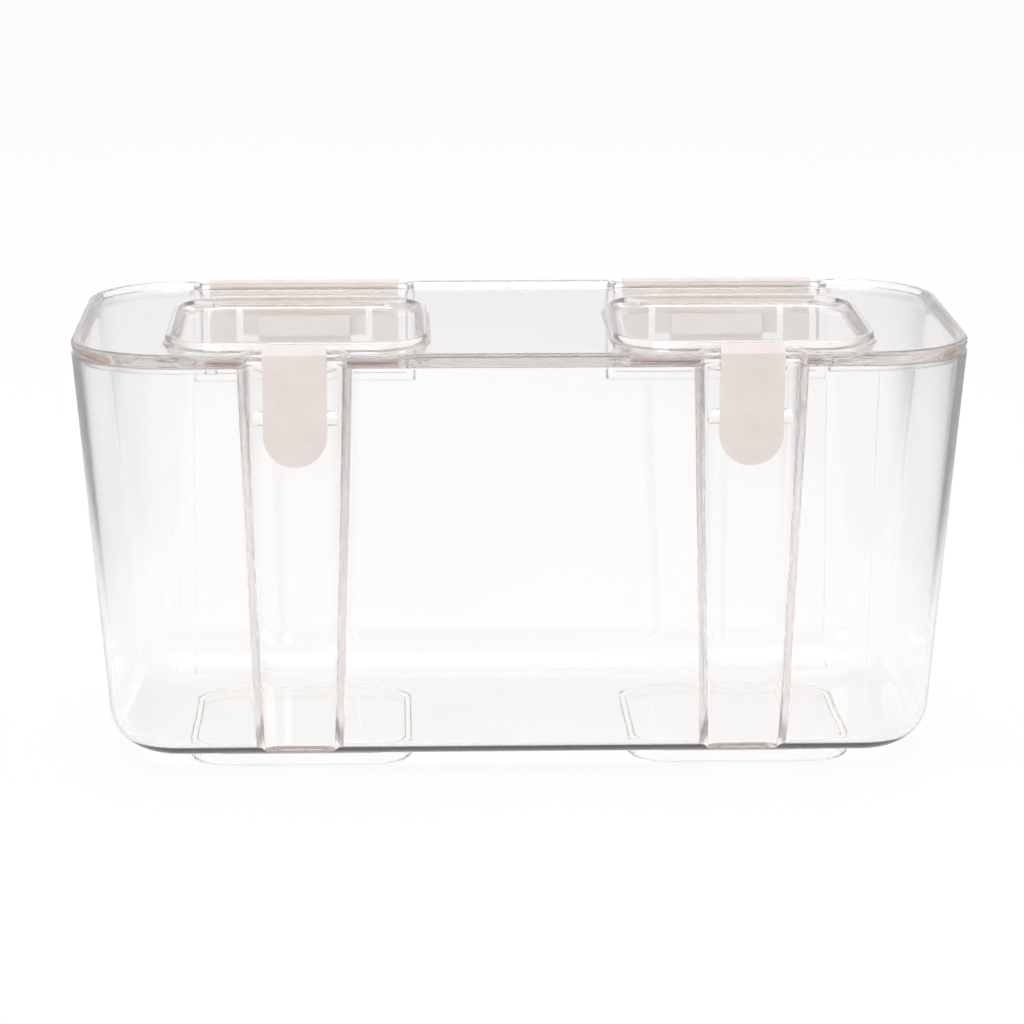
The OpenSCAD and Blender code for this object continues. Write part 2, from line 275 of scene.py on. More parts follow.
def rounded_rectangle(centre, w, d, r, steps=16):
    """A closed rounded rectangle, counter-clockwise from above."""
    cx, cy = centre
    x, y = w / 2 - r, d / 2 - r
    corners = [((cx - x, cy - y), 180), ((cx + x, cy - y), 270),
               ((cx + x, cy + y), 0), ((cx - x, cy + y), 90)]
    points = []
    for i, (c, start) in enumerate(corners):
        points += arc(c, r, start, start + 90, steps)
        last = points[-1]
        following = corners[(i + 1) % 4]
        points += straight(last, arc(following[0], r, following[1], following[1], 1)[0], 3)
    return points


# Meshes

class Builder:
    """A bmesh that takes rings of points in millimetres and makes a named object."""

    def __init__(self):
        self.bm = bmesh.new()

    def ring(self, points):
        return [self.bm.verts.new(Vector(p) * MM) for p in points]

    def band(self, low, high):
        count = len(low)
        for i in range(count):
            j = (i + 1) % count
            self.bm.faces.new((low[i], low[j], high[j], high[i]))

    def bands(self, rings):
        for low, high in zip(rings, rings[1:]):
            self.band(low, high)

    def cap(self, ring, up=True):
        self.bm.faces.new(ring if up else list(reversed(ring)))

    def fill(self, rings, up=True):
        """Fills a flat region between an outer ring and the holes in it."""
        edges = []
        for ring in rings:
            count = len(ring)
            for i in range(count):
                pair = (ring[i], ring[(i + 1) % count])
                edges.append(self.bm.edges.get(pair) or self.bm.edges.new(pair))
        made = bmesh.ops.triangle_fill(self.bm, use_beauty=True, use_dissolve=False, edges=edges)
        for item in made["geom"]:
            if isinstance(item, bmesh.types.BMFace):
                item.normal_update()
                if (item.normal.z > 0) != up:
                    item.normal_flip()

    def finish(self, name):
        mesh = bpy.data.meshes.new(name)
        self.bm.to_mesh(mesh)
        self.bm.free()
        made = bpy.data.objects.new(name, mesh)
        bpy.context.scene.collection.objects.link(made)
        return made


def prism(name, points, axis, low, high):
    """A closed prism along axis; its outline gives the other two coordinates, in X, Y, Z order."""
    def place(p, at):
        p = list(p)
        p.insert("XYZ".index(axis), at)
        return p
    build = Builder()
    a = build.ring([place(p, low) for p in points])
    b = build.ring([place(p, high) for p in points])
    build.band(a, b)
    build.cap(a, False)
    build.cap(b)
    bmesh.ops.recalc_face_normals(build.bm, faces=build.bm.faces)
    return build.finish(name)


def cylinder_x(name, centre, radius, low, high, steps=48):
    """A cylinder along X about (y, z)."""
    return prism(name, arc(centre, radius, 0, 360 - 360 / steps, steps - 1), "X", low, high)


def apply_modifiers(obj):
    """Bakes an object's modifiers into its mesh."""
    bpy.context.view_layer.update()
    graph = bpy.context.evaluated_depsgraph_get()
    mesh = bpy.data.meshes.new_from_object(obj.evaluated_get(graph))
    obj.modifiers.clear()
    old = obj.data
    obj.data = mesh
    mesh.name = obj.name
    bpy.data.meshes.remove(old)


def combine(obj, operation, others):
    """Joins or cuts obj with others, which are used up."""
    for other in others:
        step = obj.modifiers.new("step", "BOOLEAN")
        step.operation = operation
        step.solver = "MANIFOLD"
        step.object = other
        apply_modifiers(obj)
        mesh = other.data
        bpy.data.objects.remove(other)
        bpy.data.meshes.remove(mesh)


def soften(obj, width, segments=3, angle=35):
    """Rounds an object's sharp edges, as a moulded piece's are."""
    step = obj.modifiers.new("edges", "BEVEL")
    step.width = width * MM
    step.segments = segments
    step.limit_method = "ANGLE"
    step.angle_limit = math.radians(angle)
    step.miter_outer = "MITER_ARC"
    step.use_clamp_overlap = True
    apply_modifiers(obj)


def shade(obj, angle=32):
    """Smooth shading that keeps the flat faces flat."""
    for face in obj.data.polygons:
        face.use_smooth = True
    obj.data.set_sharp_from_angle(angle=math.radians(angle))
    step = obj.modifiers.new("normals", "WEIGHTED_NORMAL")
    step.mode = "FACE_AREA"
    step.weight = 80
    step.keep_sharp = True
    apply_modifiers(obj)


# Tub

def tub_radius(up):
    """Corner radius of the tub's outer face at a height above its underside."""
    return CORNER_R - (TUB_H - up) * LEAN


def tub_loop(spread, up, inset):
    """One ring of the tub: spread is its corner radius, up its height above the underside."""
    behind_wall = max(0.0, tub_radius(up) - inset / math.cos(DRAFT) - spread)
    channel = max(0.0, NOTCH_D - behind_wall)
    narrow = (TUB_H - up) * math.tan(CHANNEL_TAPER)
    below = up - (TUB_H - RECESS_H)
    reach = inset + below
    share = min(1.0, max(0.0, (reach + RECESS_EDGE / 2) / RECESS_EDGE))
    recess = max(0.0, RECESS_D - behind_wall) * share * share * (3 - 2 * share)
    lip_r = LIP_R if inset == 0 else INNER_LIP_R
    front = (NOTCH_W / 2 - narrow + inset, channel, NOTCH_D, NOTCH_R + inset, lip_r)
    rear = (HINGE_NOTCH_W / 2 + inset, recess, RECESS_D, RECESS_R + inset * 0.3, INNER_LIP_R)
    rise = SEAM_RISE if inset == 0 and BASE_R < up < TUB_H - 1 else 0
    seam = (SEAM_START + SEAM_FAN * up / TUB_H, rise)
    return [(x, y + MID_Y, up + UNDER_Z) for x, y in outline(spread, front, rear, seam)]


def tub_profile(inset):
    """(corner radius, height) down one face of the tub, from just under the rim to its floor."""
    centre = tub_radius(BASE_R) - BASE_R / math.cos(DRAFT)
    r = BASE_R - inset
    across = inset / math.cos(DRAFT)
    wall_end = BASE_R - r * math.sin(DRAFT)
    recess_low = TUB_H - RECESS_H - inset
    ups = [TUB_H - 3, TUB_H - 6, TUB_H - 12, recess_low + 1.5]
    ups += [recess_low + 0.4 - 0.1 * i for i in range(9)]
    ups += [recess_low - 1.5, recess_low - 15, recess_low - 30, recess_low - 45]
    ups += [wall_end + 6, wall_end + 1]
    steps = 28
    wall = [(tub_radius(up) - across, up) for up in ups]
    turn = [(centre + r * math.cos(a), BASE_R - r * math.sin(a))
            for a in (DRAFT + (math.pi / 2 - DRAFT) * i / steps for i in range(steps + 1))]
    return wall + turn + [(centre - 0.6, inset), (centre - 1.5, inset)]


def rim_profile():
    """(corner radius, height, inset) over the rim, from the outer face to the inner one."""
    outer, top, soft = tub_radius(TUB_H), TUB_H, 0.3
    points = [(tub_radius(top - 1), top - 1, 0)]
    points += [(outer - soft + soft * math.cos(a), top - soft + soft * math.sin(a), 0)
               for a in (math.radians(22.5 * i) for i in range(5))]
    inner = outer - ACROSS
    points += [(inner + soft - soft * math.sin(a), top - soft + soft * math.cos(a), WALL)
               for a in (math.radians(22.5 * i) for i in range(5))]
    return points + [(tub_radius(top - 1) - ACROSS, top - 1, WALL)]


def lower_rear_rim(ring):
    """Lets the rim down behind the hinge clips' barrels."""
    low = REAR_BAR[1] - HINGE_BARREL_R - LEAF_GAP
    half = HINGE_NOTCH_W / 2 + RIM_RELIEF

    def place(x, y, z):
        near = y > REAR_Y - 5 and abs(abs(x) - PAIR_X) < half
        return (x, y, min(z, low) if near else z)

    return [place(*p) for p in ring]


def make_tub():
    build = Builder()
    outer = [tub_loop(spread, up, 0) for spread, up in reversed(tub_profile(0))]
    rim = [lower_rear_rim(tub_loop(*step)) for step in rim_profile()]
    inner = [tub_loop(spread, up, WALL) for spread, up in tub_profile(WALL)]
    rings = [build.ring(points) for points in outer + rim + inner]
    build.bands(rings)
    build.cap(rings[0], False)
    build.cap(rings[-1])
    bmesh.ops.recalc_face_normals(build.bm, faces=build.bm.faces)
    tub = build.finish("tub_shell")
    windows = [tongue_window(side) for side in (-1, 1)]
    combine(tub, "DIFFERENCE", windows)
    combine(tub, "UNION", [catch(side) for side in (-1, 1)] + [foot(side) for side in (-1, 1)])
    shade(tub)
    return tub


def lean_front(points):
    """Turns (y, z) points about the front of the rim, so that they lean with the front wall."""
    return [(FRONT_Y + y * math.cos(DRAFT) - z * math.sin(DRAFT),
             RIM_Z + y * math.sin(DRAFT) + z * math.cos(DRAFT)) for y, z in points]


def lean_rear(points, origin):
    """Turns (y, z) points about origin, so that they lean with the rear wall."""
    oy, oz = origin
    return [(oy + y * math.cos(DRAFT) + z * math.sin(DRAFT),
             oz - y * math.sin(DRAFT) + z * math.cos(DRAFT)) for y, z in points]


def catch(side):
    """The wedge in a channel that a latch snaps over."""
    face, back = NOTCH_D - CATCH_OUT, NOTCH_D + 0.5
    top, low = -CATCH_DOWN, -CATCH_DOWN - CATCH_H
    nose = arc((face + 1.0, low + CATCH_H * 0.5), 1.0, 200, 130, 5)
    points = [(back, low), (face + 0.3, low), (face, low + 0.3)] + nose
    points += [(NOTCH_D - 0.5, top), (back, top)]
    x = side * PAIR_X
    made = prism("catch", lean_front(points), "X", x - CATCH_W / 2, x + CATCH_W / 2)
    soften(made, 0.3)
    return made


def tongue_window(side):
    """The window in the rear wall for a hinge clip's hook."""
    play = 0.3
    top = -TONGUE_DOWN + play
    low = -TONGUE_DOWN - TONGUE_H - play
    points = lean_rear([(-6, low), (3, low), (3, top), (-6, top)], REAR_BAR)
    x, half = side * PAIR_X, TONGUE_W / 2 + play
    return prism("window", points, "X", x - half, x + half)


def foot(side):
    """The rounded rib under the floor."""
    w = RING_W - 2 * RING_INSET - 2 * STACK_PLAY
    d = RING_D - 2 * RING_INSET - 2 * STACK_PLAY
    r = RING_R - RING_INSET - STACK_PLAY / 2
    soft = 0.5
    profile = [(0, UNDER_Z + 1), (0, soft)]
    profile += [(soft - soft * math.cos(a), soft - soft * math.sin(a))
                for a in (math.radians(30 * i) for i in range(1, 4))]
    profile += [(FOOT_T - inset, z) for inset, z in reversed(profile)]
    build = Builder()
    centre = (side * PAIR_X, RING_Y)
    rings = [build.ring([(x, y, z) for x, y in
                         rounded_rectangle(centre, w - 2 * inset, d - 2 * inset, r - inset)])
             for inset, z in profile]
    build.bands(rings + [rings[0]])
    bmesh.ops.recalc_face_normals(build.bm, faces=build.bm.faces)
    return build.finish("foot")


# Lid

def lid_loop(inset, z):
    """One ring of the lid, drawn in by inset, with its rear edge kept inside the round nose."""
    front = (NOTCH_W / 2 + inset, NOTCH_D, NOTCH_D, NOTCH_R + inset, max(LIP_R - inset, 0.15))
    depth = REAR_Y - REAR_BAR[0] + HINGE_BARREL_R + 0.5
    half = min(HINGE_NOTCH_W / 2 + inset, CORNER_X - PAIR_X - LIP_CLEAR)
    rear = (half, depth, depth, RECESS_R + inset, max(0.8 - inset, 0.15))
    nose = EDGE_H / 2

    def place(x, y):
        past = y + MID_Y - REAR_BAR[0]
        if past <= 0:
            return (x, y + MID_Y, LID_Z + z)
        reach = math.sqrt(max(0.0, nose * nose - past * past))
        return (x, y + MID_Y, LID_Z + min(max(z, nose - reach), nose + reach))

    return [place(x, y) for x, y in outline(CORNER_R - inset, front, rear)]


def lid_profile():
    """(inset, height) round the lid's edge, from its underside to its panel."""
    soft = 0.2
    bottom = [(6.0, 0), (5.0, 0)] + [(EDGE_IN + inset, 0) for inset in (1.2, 0.9, 0.6, 0.4)]
    low_turn = [(EDGE_IN + soft - soft * math.sin(a), soft - soft * math.cos(a))
                for a in (math.radians(18 * i) for i in range(1, 5))]
    side = [(EDGE_IN * (1 - z / EDGE_IN_H), z) for z in (0.4, 0.8, 1.3)]
    side += [(0.02, EDGE_IN_H), (0, EDGE_IN_H + 0.3)]
    high_turn = [(EDGE_R - EDGE_R * math.cos(a), EDGE_H - EDGE_R + EDGE_R * math.sin(a))
                 for a in (math.radians(10 * i) for i in range(10))]
    start, end = CREST_W, CREST_W + SLOPE_W
    slope = [(start - 0.25, EDGE_H), (start, EDGE_H - 0.03), (start + 0.25, EDGE_H - 0.2),
             (end - 0.3, PANEL_T + 0.2), (end, PANEL_T + 0.04), (end + 0.3, PANEL_T)]
    return bottom + low_turn + side + high_turn + slope + [(5.0, PANEL_T), (6.0, PANEL_T)]


def ring_rings(build, side, profile):
    """Rings of one rounded rectangle of the lid: profile gives (inset, height)."""
    centre = (side * PAIR_X, RING_Y)
    return [build.ring([(x, y, LID_Z + z) for x, y in rounded_rectangle(
        centre, RING_W - 2 * inset, RING_D - 2 * inset, max(RING_R - inset, 2))])
        for inset, z in profile]


def ring_profile():
    """(inset, height) over a stacking ring, from the panel to the window's floor."""
    top = PANEL_T + RING_H
    soft = 0.35
    inner = RING_LEAN + RING_TOP_W
    floor = PANEL_T - WINDOW_DROP
    points = [(-0.8, PANEL_T), (-0.3, PANEL_T), (-0.05, PANEL_T + 0.08), (0.02, PANEL_T + 0.3)]
    points += [(RING_LEAN + soft - soft * math.cos(a), top - soft + soft * math.sin(a))
               for a in (math.radians(22.5 * i) for i in range(5))]
    points += [(inner - soft + soft * math.sin(a), top - soft + soft * math.cos(a))
               for a in (math.radians(20 * i) for i in range(4))]
    points += [(RING_INSET - 0.25, floor + 0.4), (RING_INSET, floor + 0.1)]
    return points + [(RING_INSET + 0.35, floor), (RING_INSET + 1.2, floor)]


def make_lid():
    build = Builder()
    edge = [build.ring(lid_loop(*step)) for step in lid_profile()]
    build.bands(edge)
    tops, unders = [], []
    for side in (-1, 1):
        over = ring_rings(build, side, ring_profile())
        build.bands(over)
        build.cap(over[-1])
        tops.append(over[0])
        drop = [(1.0, 0), (1.4, -0.02), (1.8, -WINDOW_DROP + 0.02),
                (2.2, -WINDOW_DROP), (3.4, -WINDOW_DROP)]
        under = ring_rings(build, side, drop)
        build.bands(under)
        build.cap(under[-1], False)
        unders.append(under[0])
    build.fill([edge[-1]] + tops)
    build.fill([edge[0]] + unders, False)
    bmesh.ops.recalc_face_normals(build.bm, faces=build.bm.faces)
    lid = build.finish("lid_plate")
    bars = []
    for side in (-1, 1):
        x = side * PAIR_X
        for (y, z), width in ((FRONT_BAR, NOTCH_W), (REAR_BAR, HINGE_NOTCH_W)):
            low, high = x - width / 2 - BAR_BURIED, x + width / 2 + BAR_BURIED
            bars.append(cylinder_x("bar", (y, z), BAR_R, low, high))
    combine(lid, "UNION", bars + [flange(sx, sy) for sx in (-1, 1) for sy in (-1, 1)])
    shade(lid)
    return lid


def flange(sx, sy):
    """The flange under one corner of the lid, inside the tub's rim.

    A rear one ends with the corner's arc.
    """
    outer = CORNER_R - ACROSS - FLANGE_PLAY
    half = FLANGE_T / 2
    middle = outer - half
    straight_end = half - FLANGE_RUN
    stop = 90 if sy < 0 else 90 - math.degrees(math.asin(half / middle))
    last = (straight_end, middle) if sy < 0 else arc((0, 0), middle, stop, stop, 1)[0]

    def leg(r):
        points = [(r, straight_end)] + arc((0, 0), r, 0, stop, 20)
        return points + [(straight_end, r)] if sy < 0 else points

    points = arc((middle, straight_end), half, -150, -30, 4) + leg(outer)
    points += arc(last, half, stop + 30, stop + 150, 4) + list(reversed(leg(outer - FLANGE_T)))
    cx, cy = sx * CORNER_X, sy * CORNER_Y + MID_Y
    turned = [(cx + sx * x, cy + sy * y) for x, y in points]
    made = prism("flange", turned, "Z", LID_Z - FLANGE_H, LID_Z + FLANGE_BURIED)
    soften(made, 0.3)
    return made


# Clips

def barrel(centre, radius, mouth, gap_at):
    """Outline of a hinge clip's C-shaped barrel: mouth is its opening, at gap_at degrees."""
    inner = math.degrees(math.asin(mouth / 2 / BORE_R))
    outer = math.degrees(math.asin(mouth / 2 / radius))
    points = arc(centre, radius, gap_at + outer, gap_at + 360 - outer, 56)
    return points + arc(centre, BORE_R, gap_at + 360 - inner, gap_at + inner, 44)


def latch_outline(side):
    """A latch seen from the front, with a full-round tip."""
    x, r = side * PAIR_X, LATCH_W / 2
    tip = FRONT_BAR[1] - LATCH_LEN * math.cos(DRAFT) + 0.1
    top = FRONT_BAR[1] + LATCH_TOP_R + 1
    return [(x + r, top), (x - r, top)] + arc((x, tip + r), r, 180, 360, 64)


def make_latch(side, name):
    y, z = FRONT_BAR
    x = side * PAIR_X
    low, high = x - LATCH_W / 2, x + LATCH_W / 2
    r = LATCH_HEAD_R
    face, back = -r, LATCH_T - r

    def leaned(points):
        return [(y + v * math.cos(DRAFT) - w * math.sin(DRAFT),
                 z + v * math.sin(DRAFT) + w * math.cos(DRAFT)) for v, w in points]

    head = [(-r, -r), (-r, LATCH_FOLD)] + arc((0, 0), LATCH_TOP_R, *LATCH_TOP_ARC, 6)
    head += [(r, -r / 2), (r / 2, -r)]
    leaf = [(face, 0), (face, -LATCH_LEN), (back, -LATCH_LEN), (back, 0)]
    hook = [(back - 0.5, -HOOK_DOWN), (back - 0.5, -HOOK_DOWN - HOOK_H),
            (back + HOOK_OUT, -HOOK_DOWN - HOOK_H / 2), (back + HOOK_OUT, -HOOK_DOWN)]
    latch = prism(name, leaned(head), "X", low, high)
    combine(latch, "UNION", [prism("leaf", leaned(leaf), "X", low, high),
                             prism("hook", leaned(hook), "X", low, high)])
    front = prism("front", latch_outline(side), "Y", FRONT_Y - 20, FRONT_Y + 20)
    combine(latch, "INTERSECT", [front])
    mouth = math.degrees(math.asin(MOUTH_W / 2 / BORE_R))
    beyond = y + 9
    bore = arc(FRONT_BAR, BORE_R, mouth, 360 - mouth, 48)
    bore += [(beyond, z - MOUTH_W / 2), (beyond, z + MOUTH_W / 2)]
    combine(latch, "DIFFERENCE", [prism("bore", bore, "X", low - 1, high + 1)])
    soften(latch, 0.35)
    shade(latch)
    return latch


def make_hinge(side, name):
    y, z = REAR_BAR
    x = side * PAIR_X
    face = EDGE_H / 2 - RECESS_D + LEAF_GAP

    def block(part, depth, rise, width):
        (near, far), (low, high) = depth, rise
        corners = [(near, low), (far, low), (far, high), (near, high)]
        return prism(part, lean_rear(corners, REAR_BAR), "X", x + width[0], x + width[1])

    half = HINGE_W / 2
    ring = barrel(REAR_BAR, HINGE_BARREL_R, MOUTH_W, HINGE_MOUTH_AT)
    hinge = prism(name, ring, "X", x - half, x + half)
    leaf = block("leaf", (face, face + LEAF_T), (-LEAF_LEN, -BORE_R), (-half, half))
    low = -TONGUE_DOWN - TONGUE_H - LEAF_SLOT
    through = (-5, 5)
    cuts = []
    for turn in (-1, 1):
        edge = turn * LEAF_SLOT_X
        slot = (edge - LEAF_SLOT / 2, edge + LEAF_SLOT / 2)
        toe = sorted((edge - turn * LEAF_SLOT_TOE, edge))
        cuts.append(block("cut", through, (low, -LEAF_SLOT_DOWN), slot))
        cuts.append(block("cut", through, (low, low + LEAF_SLOT), toe))
    combine(leaf, "DIFFERENCE", cuts)
    hook = block("hook", (face - LEAF_GAP - WALL - TONGUE_LIP, face + 0.5),
                 (-TONGUE_DOWN - TONGUE_H, -TONGUE_DOWN), (-TONGUE_W / 2, TONGUE_W / 2))
    combine(hinge, "UNION", [leaf, hook])
    soften(hinge, 0.25)
    shade(hinge)
    return hinge


# Materials

def node_tree(name):
    material = bpy.data.materials.new(name)
    material.use_nodes = True
    nodes, links = material.node_tree.nodes, material.node_tree.links
    return material, nodes, links, nodes["Principled BSDF"]


def noise(nodes, links, scale, detail=3.0, roughness=0.5):
    """Noise in the object's own space, which moves with the piece."""
    place = nodes.new("ShaderNodeTexCoord")
    texture = nodes.new("ShaderNodeTexNoise")
    texture.inputs["Scale"].default_value = scale
    texture.inputs["Detail"].default_value = detail
    texture.inputs["Roughness"].default_value = roughness
    links.new(place.outputs["Object"], texture.inputs["Vector"])
    return texture


def ramp(nodes, links, source, stops):
    """A colour ramp over a noise: stops are (place, colour)."""
    made = nodes.new("ShaderNodeValToRGB")
    links.new(source.outputs["Fac"], made.inputs["Fac"])
    first, last = made.color_ramp.elements
    first.position, first.color = stops[0][0], (*stops[0][1], 1)
    last.position, last.color = stops[1][0], (*stops[1][1], 1)
    return made


def bump(nodes, links, source, shader, depth):
    """Raises the shader's surface with a noise, by up to depth in millimetres."""
    made = nodes.new("ShaderNodeBump")
    made.inputs["Strength"].default_value = 1.0
    made.inputs["Distance"].default_value = depth * MM
    links.new(source.outputs["Fac"], made.inputs["Height"])
    links.new(made.outputs["Normal"], shader.inputs["Normal"])


def window(nodes, links, source, low, high, fade):
    """1 where source lies between low and high, 0 outside, with a soft step at both ends."""
    ends = []
    for start, end in ((low, low + fade), (high, high - fade)):
        step = nodes.new("ShaderNodeMapRange")
        step.interpolation_type = "SMOOTHSTEP"
        step.inputs["From Min"].default_value = start
        step.inputs["From Max"].default_value = end
        links.new(source, step.inputs["Value"])
        ends.append(step.outputs["Result"])
    return product(nodes, links, ends)


def product(nodes, links, factors):
    """All factors multiplied with each other."""
    total = factors[0]
    for factor in factors[1:]:
        times = nodes.new("ShaderNodeMath")
        times.operation = "MULTIPLY"
        links.new(total, times.inputs[0])
        links.new(factor, times.inputs[1])
        total = times.outputs["Value"]
    return total


def base_shade_mask(nodes, links):
    """Mask of painted shade: 1 on the outside of the tub's rounded base edge, below its turn, and 0
    elsewhere.
    """
    surface = nodes.new("ShaderNodeNewGeometry")
    outside = nodes.new("ShaderNodeMath")
    outside.operation = "SUBTRACT"
    outside.inputs[0].default_value = 1.0
    links.new(surface.outputs["Backfacing"], outside.inputs[1])
    facing = nodes.new("ShaderNodeSeparateXYZ")
    links.new(surface.outputs["Normal"], facing.inputs["Vector"])
    place = nodes.new("ShaderNodeTexCoord")
    height = nodes.new("ShaderNodeSeparateXYZ")
    links.new(place.outputs["Object"], height.inputs["Vector"])
    down = window(nodes, links, facing.outputs["Z"], -0.99, -0.66, 0.07)
    low = window(nodes, links, height.outputs["Z"], UNDER_Z * MM, (UNDER_Z + BASE_R) * MM, 0.1 * MM)
    return product(nodes, links, [outside.outputs["Value"], down, low])


def clear_plastic(name="clear_plastic", paint_base_shade=False):
    """Polished clear plastic, faintly pink where light runs along it, wavy and marked by handling.

    paint_base_shade paints shade along the outside of the base edge, where the tub's base edge is
    dark.
    """
    material, nodes, links, shader = node_tree(name)
    shader.inputs["Transmission Weight"].default_value = CLEAR_SHARE
    shader.inputs["IOR"].default_value = CLEAR_IOR
    tint = ramp(nodes, links, noise(nodes, links, 18.0, 2.0),
                [(0.3, (0.985, 0.98, 0.976)), (0.7, (0.995, 0.99, 0.987))])
    colour = tint.outputs["Color"]
    # Painted shade: the outside of the base edge is drawn dark, with little of its clearness and
    # gloss left
    if paint_base_shade:
        edge = base_shade_mask(nodes, links)
        darken = nodes.new("ShaderNodeMix")
        darken.data_type = "RGBA"
        links.new(edge, darken.inputs["Factor"])
        links.new(colour, darken.inputs[6])
        darken.inputs[7].default_value = (*PAINTED_SHADE_COLOUR, 1)
        colour = darken.outputs[2]
        for socket in ("Transmission Weight", "Specular IOR Level"):
            level = nodes.new("ShaderNodeMapRange")
            level.inputs["To Min"].default_value = shader.inputs[socket].default_value
            level.inputs["To Max"].default_value = PAINTED_SHADE_LEVEL
            links.new(edge, level.inputs["Value"])
            links.new(level.outputs["Result"], shader.inputs[socket])
    links.new(colour, shader.inputs["Base Color"])
    depth = nodes.new("ShaderNodeVolumeAbsorption")
    depth.inputs["Color"].default_value = (*DEPTH_TINT, 1)
    depth.inputs["Density"].default_value = DEPTH_DENSITY
    out = nodes["Material Output"]
    links.new(depth.outputs["Volume"], out.inputs["Volume"])
    through = nodes.new("ShaderNodeBsdfTransparent")
    through.inputs["Color"].default_value = (*SHADOW_TINT, 1)
    rays = nodes.new("ShaderNodeLightPath")
    lamp_or_glass = nodes.new("ShaderNodeMixShader")
    links.new(rays.outputs["Is Shadow Ray"], lamp_or_glass.inputs["Fac"])
    links.new(shader.outputs["BSDF"], lamp_or_glass.inputs[1])
    links.new(through.outputs["BSDF"], lamp_or_glass.inputs[2])
    links.new(lamp_or_glass.outputs["Shader"], out.inputs["Surface"])
    marks = noise(nodes, links, 900.0, 4.0, 0.7)
    rough = nodes.new("ShaderNodeMapRange")
    rough.inputs["From Min"].default_value = 0.45
    rough.inputs["From Max"].default_value = 0.8
    rough.inputs["To Min"].default_value = 0.0
    rough.inputs["To Max"].default_value = 0.06
    links.new(marks.outputs["Fac"], rough.inputs["Value"])
    links.new(rough.outputs["Result"], shader.inputs["Roughness"])
    bump(nodes, links, noise(nodes, links, 55.0, 1.0), shader, 0.004)
    return material


def frosted_plastic(name, pale, deep, translucency):
    """Milky soft plastic with a fine matt skin and cloudy flow marks."""
    material, nodes, links, shader = node_tree(name)
    cloud = ramp(nodes, links, noise(nodes, links, 130.0, 4.0, 0.6), [(0.3, deep), (0.7, pale)])
    links.new(cloud.outputs["Color"], shader.inputs["Base Color"])
    shader.inputs["Subsurface Weight"].default_value = translucency
    shader.inputs["Subsurface Radius"].default_value = (1.0, 0.9, 0.85)
    shader.inputs["Subsurface Scale"].default_value = 1.5 * MM
    shader.inputs["IOR"].default_value = 1.49
    skin = noise(nodes, links, 1500.0, 3.0, 0.6)
    rough = nodes.new("ShaderNodeMapRange")
    rough.inputs["To Min"].default_value = 0.32
    rough.inputs["To Max"].default_value = 0.5
    links.new(skin.outputs["Fac"], rough.inputs["Value"])
    links.new(rough.outputs["Result"], shader.inputs["Roughness"])
    bump(nodes, links, skin, shader, 0.02)
    return material


def paint(obj, material):
    obj.data.materials.clear()
    obj.data.materials.append(material)


# Surroundings

def ray_share(nodes, links, direct, through):
    """A share: direct for the camera's own rays, through for those by way of the plastic."""
    rays = nodes.new("ShaderNodeLightPath")
    shares = {"Is Camera Ray": direct, "Is Glossy Ray": through, "Is Transmission Ray": through}
    total = None
    for kind, share in shares.items():
        part = nodes.new("ShaderNodeMath")
        part.operation = "MULTIPLY"
        part.inputs[1].default_value = share
        links.new(rays.outputs[kind], part.inputs[0])
        if total is not None:
            larger = nodes.new("ShaderNodeMath")
            larger.operation = "MAXIMUM"
            links.new(total, larger.inputs[0])
            links.new(part.outputs["Value"], larger.inputs[1])
            part = larger
        total = part.outputs["Value"]
    return total


def make_floor():
    """A wide white floor with a soft shadow, dark at its sides when seen through the plastic."""
    reach = 6000
    corners = [(-reach, -reach, 0), (reach, -reach, 0), (reach, reach, 0), (-reach, reach, 0)]
    build = Builder()
    build.cap(build.ring(corners))
    floor = build.finish("floor")
    material, nodes, links, shader = node_tree("floor_paper")
    paper = ramp(nodes, links, noise(nodes, links, 3.0, 2.0),
                 [(0.3, (0.93, 0.93, 0.93)), (0.7, (0.95, 0.95, 0.95))])
    links.new(paper.outputs["Color"], shader.inputs["Base Color"])
    shader.inputs["Roughness"].default_value = 0.9
    shader.inputs["Specular IOR Level"].default_value = 0.1
    white = nodes.new("ShaderNodeEmission")
    white.inputs["Color"].default_value = (1, 1, 1, 1)
    mix = nodes.new("ShaderNodeMixShader")
    links.new(ray_share(nodes, links, FLOOR_WHITE, FLOOR_WHITE_THROUGH), mix.inputs["Fac"])
    links.new(shader.outputs["BSDF"], mix.inputs[1])
    links.new(white.outputs["Emission"], mix.inputs[2])
    place = nodes.new("ShaderNodeTexCoord")
    split = nodes.new("ShaderNodeSeparateXYZ")
    links.new(place.outputs["Object"], split.inputs["Vector"])
    aside = nodes.new("ShaderNodeMath")
    aside.operation = "ABSOLUTE"
    links.new(split.outputs["X"], aside.inputs[0])
    end = nodes.new("ShaderNodeMapRange")
    end.interpolation_type = "SMOOTHSTEP"
    end.inputs["From Min"].default_value = TABLE_END[0]
    end.inputs["From Max"].default_value = TABLE_END[1]
    links.new(aside.outputs["Value"], end.inputs["Value"])
    past = product(nodes, links, [end.outputs["Result"], ray_share(nodes, links, 0.0, 1.0)])
    dark = nodes.new("ShaderNodeEmission")
    dark.inputs["Strength"].default_value = TABLE_END_GREY
    ended = nodes.new("ShaderNodeMixShader")
    links.new(past, ended.inputs["Fac"])
    links.new(mix.outputs["Shader"], ended.inputs[1])
    links.new(dark.outputs["Emission"], ended.inputs[2])
    links.new(ended.outputs["Shader"], nodes["Material Output"].inputs["Surface"])
    paint(floor, material)


